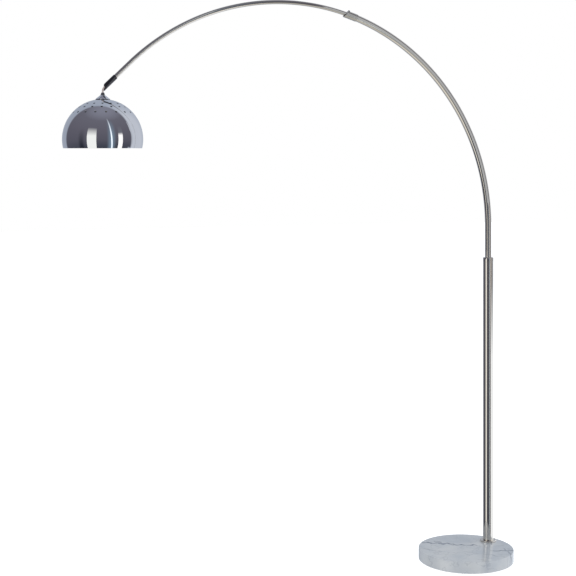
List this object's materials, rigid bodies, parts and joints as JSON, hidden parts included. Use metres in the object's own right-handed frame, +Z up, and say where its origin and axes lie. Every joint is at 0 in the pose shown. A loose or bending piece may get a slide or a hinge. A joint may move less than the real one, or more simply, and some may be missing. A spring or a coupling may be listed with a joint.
{
  "type": "arc floor lamp",
  "caption": "Arc floor lamp: marble disc base, off-centre pole, turning and telescoping arc arm, and a perforated dome shade hung on its lead.",
  "frame": {"origin": "centre of the underside of the round base, on the floor", "axes": "+Z up; the arm reaches towards -X in the upright plane through the pole's axis; the pole stands at +X +Y of the base's centre"},
  "size_m": [1.5239, 0.3301, 1.879],
  "materials": {
    "marble": "polished grey-white marble with grey veins",
    "felt": "pressed felt",
    "zinc_steel": "zinc-plated steel",
    "nickel_plate": "polished nickel plate, slightly warm",
    "satin_zinc": "satin nickel-plated die casting",
    "black_nickel": "polished black nickel plate",
    "chrome_plate": "mirror chrome plate",
    "black_rubber": "moulded rubber",
    "nylon": "natural nylon",
    "clear_pvc": "translucent lead jacket",
    "grey_plastic": "moulded plastic",
    "brass": "turned brass",
    "white_plastic": "moulded lamp holder plastic",
    "white_ceramic": "unglazed steatite",
    "cap_aluminium": "rolled aluminium",
    "frosted_glass": "frosted bulb glass"
  },
  "bodies": {
    "stand": {"base_pad": "felt", "base_slab": "marble", "recess_washer": "zinc_steel", "spring_washer": "zinc_steel", "pole_bolt": "zinc_steel", "pole_flange": "nickel_plate", "pole_plug": "zinc_steel", "pole_tube": "nickel_plate", "inlet_grommet": "black_rubber", "foot_bush": "nylon", "pole_ferrule": "nickel_plate", "lead_pole": "clear_pvc", "lead_coil": "clear_pvc"},
    "arm_lower": {"lower_tube": "nickel_plate", "joint_collar": "satin_zinc", "collar_screw": "zinc_steel", "lead_slack": "clear_pvc"},
    "arm_upper": {"upper_tube": "nickel_plate", "guide_ring": "nylon", "tip_sleeve": "black_nickel", "tip_grommet": "black_rubber", "lead_arm": "clear_pvc"},
    "drop": {"lead_drop": "clear_pvc"},
    "tail": {"lead_tail": "clear_pvc"},
    "shade": {"cord_grip": "grey_plastic", "shade_cap": "chrome_plate", "cap_gasket": "black_rubber", "shade_dome": "chrome_plate", "nipple": "brass", "spread_washer": "zinc_steel", "lock_nut": "brass", "holder_top": "white_plastic", "holder_shell": "white_plastic", "holder_block": "white_ceramic", "screw_shell": "brass", "centre_contact": "brass", "bulb_cap": "cap_aluminium", "bulb_contact": "cap_aluminium", "bulb_glass": "frosted_glass"}
  },
  "joints": [
    {"name": "arm_swivel", "type": "hinge", "parent": "stand", "child": "arm_lower", "pos_m": [0.10902, 0.04516, 1], "axis": [0, 0, 1], "range_deg": [-175, 175]},
    {"name": "arm_extend", "type": "hinge", "parent": "arm_lower", "child": "arm_upper", "pos_m": [-0.63598, 0.04516, 1.127], "axis": [0, -1, 0], "range_deg": [-18, 6], "deforming": ["lead_slack"]},
    {"name": "drop_plumb", "type": "hinge", "parent": "arm_upper", "child": "drop", "pos_m": [-1.23893, 0.04516, 1.57276], "axis": [0, -1, 0], "range_deg": [-6, 18], "deforming": ["lead_drop"]},
    {"name": "shade_swing", "type": "hinge", "parent": "drop", "child": "tail", "pos_m": [-1.23893, 0.04516, 1.56876], "axis": [0, 1, 0], "range_deg": [-15, 15], "deforming": ["lead_tail"]},
    {"name": "shade_tilt", "type": "hinge", "parent": "tail", "child": "shade", "pos_m": [-1.23893, 0.04516, 1.56876], "axis": [1, 0, 0], "range_deg": [-15, 15]}
  ],
  "couplings": [
    {"joint": "drop_plumb", "follows": "arm_extend", "ratio": -1}
  ]
}
